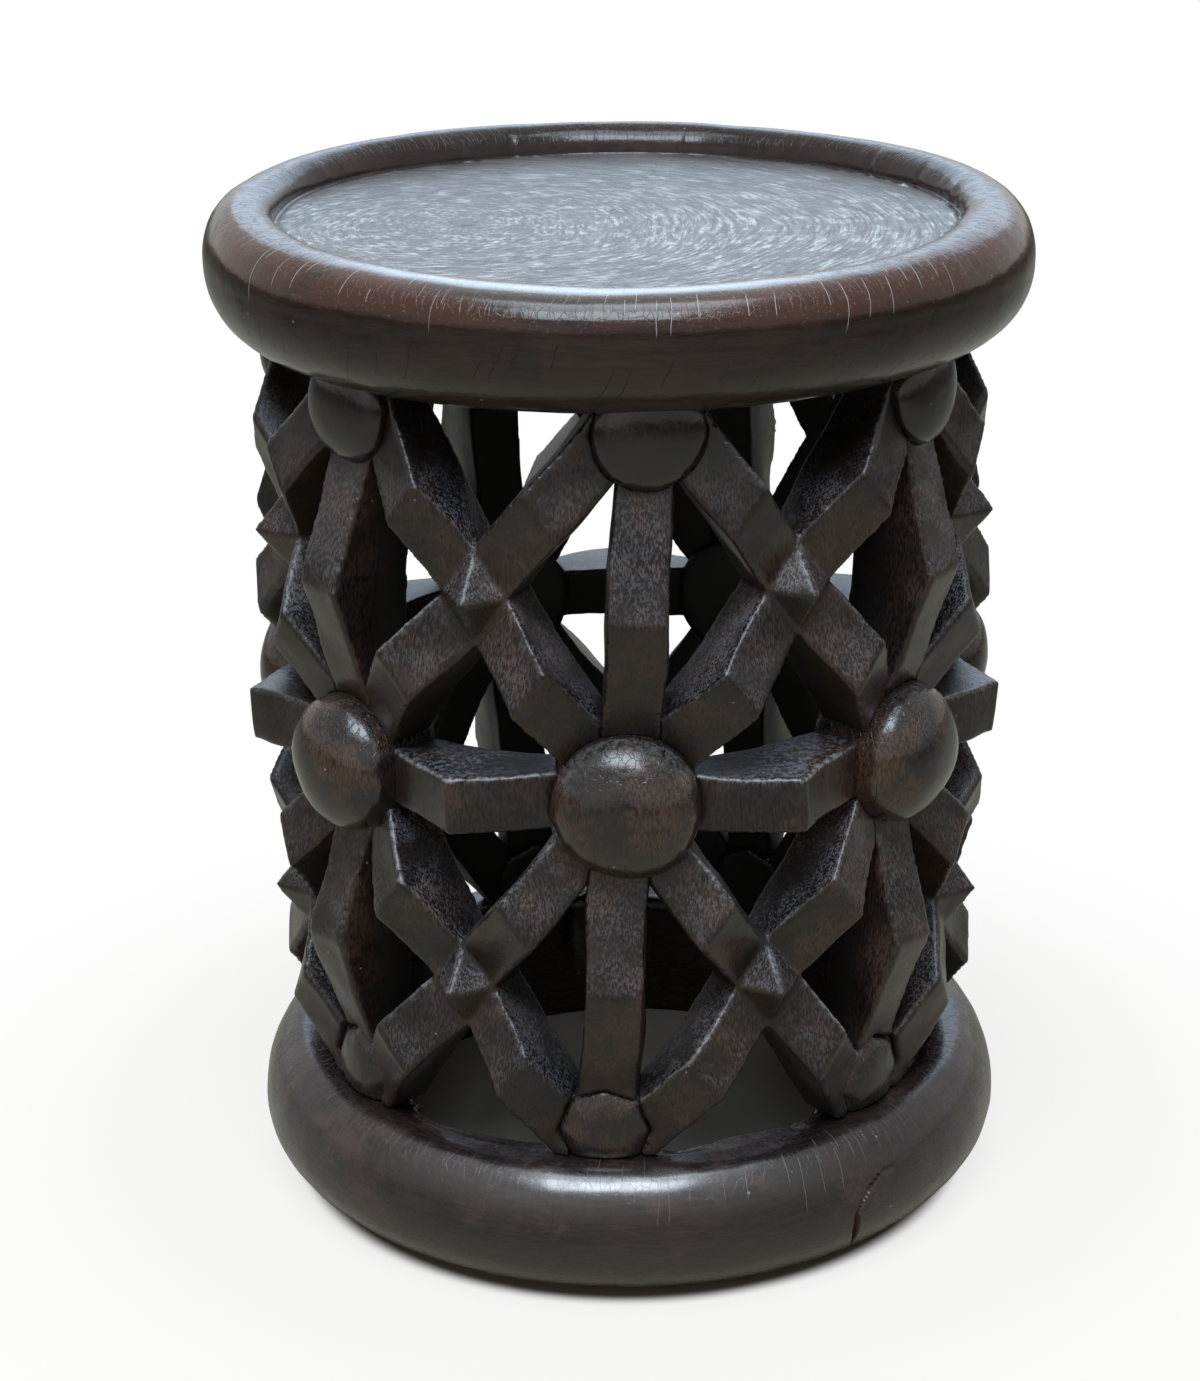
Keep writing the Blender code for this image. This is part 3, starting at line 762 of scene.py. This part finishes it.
# %% Seat shape
SEAT_RADIUS, STOOL_HEIGHT = 0.1765, 0.450
CREST_RADIUS, EQUATOR_HEIGHT, UNDER_RADIUS = 0.155, 0.421, 0.141
FLOOR_RADIUS, FLOOR_HEIGHT, FLOOR_MIDDLE = 0.1435, 0.437, 0.135
UNDERSIDE_POLE = 0.002
ROLL_FULLNESS = 2.15
FRONT_WEAR, FRONT_SPREAD, SEAT_LEAN = 0.0105, 0.0035, 0.0100
SEAT_COLUMNS = 580
rng = np.random.default_rng(11)


def waves(angle, counts, size):
    """Smooth uneven line round the stool, between minus size and size."""
    line = sum(np.sin(count * angle + rng.uniform(0.0, math.tau)) for count in counts)
    return size * line / len(counts)


def notches(angle, count, size):
    """Line of short straight cuts round the stool, between 0 and size."""
    spots = np.sort(rng.uniform(0.0, math.tau, count))
    return np.interp(angle, spots, rng.uniform(0.0, size, count), period=math.tau)


def outline_lengths(outline, start):
    """Distance of each outline point along the outline from the point numbered start."""
    steps = np.hypot(*np.diff(np.array(outline), axis=0).T)
    lengths = np.concatenate([[0.0], np.cumsum(steps)])
    return lengths - lengths[start]


def near(value, middle, width):
    return np.exp(-((value - middle) / width) ** 2)


def share_of(value, start, end):
    """0 at start and 1 at end, held level outside them."""
    return np.clip((value - start) / (end - start), 0.0, 1.0)


crest, equator = (CREST_RADIUS, STOOL_HEIGHT), (SEAT_RADIUS, EQUATOR_HEIGHT)
outline = straight((0.0, FLOOR_HEIGHT), (FLOOR_MIDDLE, FLOOR_HEIGHT), steps=48)
outline += straight((FLOOR_MIDDLE, FLOOR_HEIGHT), (FLOOR_RADIUS, FLOOR_HEIGHT), steps=12)
outline += rolled(crest, (FLOOR_RADIUS, FLOOR_HEIGHT), steps=20)[-2::-1]
crest_row = len(outline) - 1
outline += rolled(crest, equator, 38, ROLL_FULLNESS)[1:]
outline += rolled((UNDER_RADIUS, SEAT_UNDERSIDE), equator, 32, ROLL_FULLNESS)[-2::-1]
outline += straight((UNDER_RADIUS, SEAT_UNDERSIDE), (UNDERSIDE_POLE, SEAT_UNDERSIDE), steps=8)
angle = even_angles(SEAT_COLUMNS)
base = np.array(outline)[:, :, None] * np.ones(SEAT_COLUMNS)
radius, height = base[:, 0].copy(), base[:, 1].copy()
upper = height > FLOOR_HEIGHT - 1e-6
print("seat outline points", len(outline))

# %% Hand cuts on the seat
UNEVEN = 0.0006
CHIPPED_TOWARDS = math.radians(150.0)
CHIP_RADIUS, CHIP_WIDTH = 0.1405, 0.0014
DISH_SLOPE_START = 0.105
SEAT_CUTS = {
    "swell": -0.0004, "wobble": 0.0013, "wobble_size": 0.060,
    "cut_depth": 0.0004, "cut_size": 0.018, "edge_height": 0.0004,
}
worn_side = np.clip(0.35 + 0.9 * np.cos(angle - CHIPPED_TOWARDS), 0.0, 1.0)
dish_corner = near(base[:, 0], FLOOR_RADIUS, 0.006) * upper
radius -= share_of(base[:, 0], 0.150, 0.170) * (UNEVEN + waves(angle, (2, 3, 5, 9), UNEVEN))
radius += dish_corner * (waves(angle, (3, 5, 8, 13), 0.0014) - notches(angle, 160, 0.0012) * worn_side)
height -= near(base[:, 0], CREST_RADIUS, 0.012) * upper * (UNEVEN + waves(angle, (2, 3, 7), UNEVEN))
height -= near(base[:, 0], FLOOR_RADIUS, 0.0016) * upper * 0.0004
chips = np.clip(notches(angle, 260, 0.0024) - 0.0011, 0.0, None) * worn_side
height += near(base[:, 0], CHIP_RADIUS, CHIP_WIDTH) * upper * chips

front = (0.5 + 0.5 * np.cos(angle)) ** 2
outside = base[:, 0] >= CREST_RADIUS
above_side = share_of(base[:, 1], np.where(outside, EQUATOR_HEIGHT, FLOOR_HEIGHT), STOOL_HEIGHT)
in_dish = share_of(base[:, 0], DISH_SLOPE_START, FLOOR_RADIUS) * upper
radius += FRONT_SPREAD * front * np.where(outside, above_side, in_dish)
height -= FRONT_WEAR * front * above_side
lean = SEAT_LEAN * radius * (0.5 + np.sin(angle))
height -= lean * share_of(base[:, 1], SEAT_UNDERSIDE, EQUATOR_HEIGHT)
on_floor = share_of(base[:, 0], FLOOR_RADIUS - 0.0005, FLOOR_RADIUS - 0.003) * upper
along = outline_lengths(outline, crest_row)[:, None]
seat_mesh = turned_mesh("carved_seat", angle, radius, height, False, {"floor": on_floor, "along": along})
seat = new_piece("carved_seat", seat_mesh)
carve(seat, seat_wood, **SEAT_CUTS)
place_piece(seat, "seat")
print("seat faces", len(seat.data.polygons))

# %% [markdown]
# ## The foot ring
# The ring is the same kind of roll with an open middle. Its inner edge was cut last, from inside the
# drum with little room to swing, so it is a ragged line of short chisel cuts between the feet. Right
# of the front the ring has split. A Boolean with a wedge would cut the split too, but it would leave
# long thin triangles, so the columns of the grid are set close there, and its points are pushed in.

# %% Ring shape
RING_RADIUS, RING_HEIGHT, RING_EQUATOR = 0.170, 0.063, 0.030
LAND_RADIUS, SOLE_RADIUS, HOLE_RADIUS, HOLE_ROUND = 0.148, 0.128, 0.122, 0.006
FOOT_HEIGHT = 0.0755
RING_COLUMNS, SPLIT_COLUMNS = 760, 120
SPLIT_DEPTH = 0.0045
SPLIT_START, SPLIT_END = 33.13, 45.91
SPLIT = ((44.2, 0.0460, 0.0004), (40.1, 0.0449, 0.0005), (37.6, 0.0410, 0.0007), (36.0, 0.0355, 0.0010),
         (35.0, 0.0307, 0.0016), (35.0, 0.0232, 0.0019), (35.5, 0.0150, 0.0006))


def split_share(angle, height):
    """1 along the middle of the split and 0 outside it, for every point of the ring's grid."""
    share = np.zeros(height.shape)
    path = [np.array((math.radians(turn) * RING_RADIUS, level, half)) for turn, level, half in SPLIT]
    across = np.broadcast_to(angle * RING_RADIUS, height.shape)
    for start, end in zip(path, path[1:]):
        run, rise = (end - start)[:2]
        place = ((across - start[0]) * run + (height - start[1]) * rise) / (run ** 2 + rise ** 2)
        place = np.clip(place, 0.0, 1.0)
        away = np.hypot(across - start[0] - run * place, height - start[1] - rise * place)
        share = np.maximum(share, 1.0 - away / (start[2] + (end[2] - start[2]) * place))
    return share


equator = (RING_RADIUS, RING_EQUATOR)
outline = straight((HOLE_RADIUS + HOLE_ROUND, RING_HEIGHT), (LAND_RADIUS, RING_HEIGHT), 12)
crest_row = len(outline) - 1
outline += rolled((LAND_RADIUS, RING_HEIGHT), equator, 38, ROLL_FULLNESS)[1:]
outline += rolled((SOLE_RADIUS, 0.0), equator, 38, ROLL_FULLNESS)[-2::-1]
outline += straight((SOLE_RADIUS, 0.0), (HOLE_RADIUS, 0.0), 4)
outline += straight((HOLE_RADIUS, 0.0), (HOLE_RADIUS, RING_HEIGHT - HOLE_ROUND), 14)
hole_top = (HOLE_RADIUS, RING_HEIGHT - HOLE_ROUND)
outline += rolled((HOLE_RADIUS + HOLE_ROUND, RING_HEIGHT), hole_top, 8)[-2::-1]
close_angles = np.radians(np.linspace(SPLIT_START, SPLIT_END, SPLIT_COLUMNS))
angle = np.sort(np.concatenate([even_angles(RING_COLUMNS), close_angles]))
base = np.array(outline)[:, :, None] * np.ones(len(angle))
radius, height = base[:, 0].copy(), base[:, 1].copy()
print("ring outline points", len(outline))

# %% Hand cuts on the ring
FOOT_SIDE, FOOT_CLEAR = 0.10, 0.16
RING_CUTS = {
    "swell": -0.0004, "wobble": 0.0016, "wobble_size": 0.050,
    "cut_depth": 0.0005, "cut_size": 0.016, "edge_height": 0.0004,
}
to_foot = (angle - column_angle(0, FOOT_HEIGHT) + 0.5 * PITCH) % PITCH - 0.5 * PITCH
between_feet = share_of(np.abs(to_foot), FOOT_SIDE, FOOT_CLEAR)
inner = share_of(base[:, 0], 0.142, 0.128) * share_of(base[:, 1], 0.020, 0.055)
radius += inner * ((0.003 + notches(angle, 58, 0.0065)) * between_feet + waves(angle, (4, 9, 15), 0.0008))
height -= inner * (notches(angle, 64, 0.0035) * between_feet + UNEVEN)
radius -= share_of(base[:, 0], 0.150, 0.165) * (UNEVEN + waves(angle, (2, 3, 5, 9), UNEVEN))
split = split_share(angle, base[:, 1]) * (base[:, 0] > LAND_RADIUS)
radius -= SPLIT_DEPTH * split
along = outline_lengths(outline, crest_row)[:, None]
ring_mesh = turned_mesh("carved_base_ring", angle, radius, height, True, {"along": along, "split": split})
ring = new_piece("carved_base_ring", ring_mesh)
carve(ring, ring_wood, **RING_CUTS)
place_piece(ring, "base_ring")
print("ring faces", len(ring.data.polygons))

# %% [markdown]
# ## Floor and light
# Three cool softboxes, overhead, in front and lower behind, stand for an open sky, a weak warm one in
# front fills the shadows, and a pale warm floor throws a little light back up under the bars. For the
# camera the floor fades to white away from the stool, and for reflections the world is white too, so
# that the wood's sheen shows it.

# %% Stage
FLOOR_SIZE = 30.0
WORLD_FILL = 0.08
STOOL_FOOTPRINT, SHADOW_FADE, SHADOW_SHARE = (0.150, 0.160), (0.18, 0.42), 0.2


def light_path(graph, *names):
    """1 if the ray is of one of the named kinds."""
    kinds = [graph.node("ShaderNodeLightPath", None, None, name) for name in names]
    found = kinds[0]
    for kind in kinds[1:]:
        found = found.math("MAXIMUM", found, kind)
    return found


def floor_finish():
    material, graph = new_wood("pale_floor")
    shader = material.node_tree.nodes["Principled BSDF"]
    shader.inputs["Base Color"].default_value = (0.60, 0.53, 0.41, 1.0)
    shader.inputs["Roughness"].default_value = 0.9
    shader.inputs["Specular IOR Level"].default_value = 0.1
    place = graph.node("ShaderNodeTexCoord", None, None, "Object")
    away = graph.vector("LENGTH", place, output="Value")
    white = graph.node("ShaderNodeEmission", None, {"Color": (1.0, 1.0, 1.0, 1.0), "Strength": 1.0})
    beside, beyond = away.step(*STOOL_FOOTPRINT), away.step(*SHADOW_FADE)
    whitened = (1.0 - SHADOW_SHARE) * beside + SHADOW_SHARE * beyond
    share = light_path(graph, "Is Camera Ray") * whitened
    mixed = graph.node(
        "ShaderNodeMixShader", None, {0: share, 1: Wire(graph, shader.outputs[0]), 2: white})
    result = material.node_tree.nodes["Material Output"]
    material.node_tree.links.new(mixed.socket, result.inputs["Surface"])
    return material


bpy.ops.mesh.primitive_plane_add(size=FLOOR_SIZE)
floor = bpy.context.object
floor.name = "floor"
floor.data.materials.append(floor_finish())

world = bpy.data.worlds.new("studio")
bpy.context.scene.world = world
world.use_nodes = True
sky = Graph(world.node_tree)
seen = light_path(sky, "Is Camera Ray", "Is Glossy Ray", "Is Transmission Ray")
backdrop = world.node_tree.nodes["Background"]
backdrop.inputs["Color"].default_value = (1.0, 1.0, 1.0, 1.0)
world.node_tree.links.new((WORLD_FILL + (1.0 - WORLD_FILL) * seen).socket, backdrop.inputs["Strength"])


def softbox(name, place, target, width, depth, power, colour):
    lamp = bpy.data.objects.new(name, bpy.data.lights.new(name, "AREA"))
    lamp.data.shape, lamp.data.size, lamp.data.size_y = "RECTANGLE", width, depth
    lamp.data.energy, lamp.data.color = power, colour
    lamp.location = place
    lamp.rotation_mode = "QUATERNION"
    lamp.rotation_quaternion = (Vector(target) - Vector(place)).to_track_quat("-Z", "Y")
    bpy.context.scene.collection.objects.link(lamp)


softbox("sky_above", (0.0, -0.22, 2.0), (0.0, -0.1, 0.3), 1.1, 0.7, 17.0, (0.78, 0.89, 1.0))
softbox("sky_ahead", (-0.12, -1.15, 2.05), (0.0, 0.0, 0.25), 1.3, 0.9, 60.0, (0.76, 0.88, 1.0))
softbox("sky_behind", (0.2, 2.0, 1.35), (0.0, 0.0, 0.3), 2.0, 1.0, 13.5, (0.50, 0.73, 1.0))
softbox("low_fill", (-1.2, -2.2, 0.7), (0.0, 0.0, 0.2), 1.6, 1.6, 3.0, (1.0, 0.90, 0.78))
bpy.context.scene.view_settings.view_transform = "Standard"
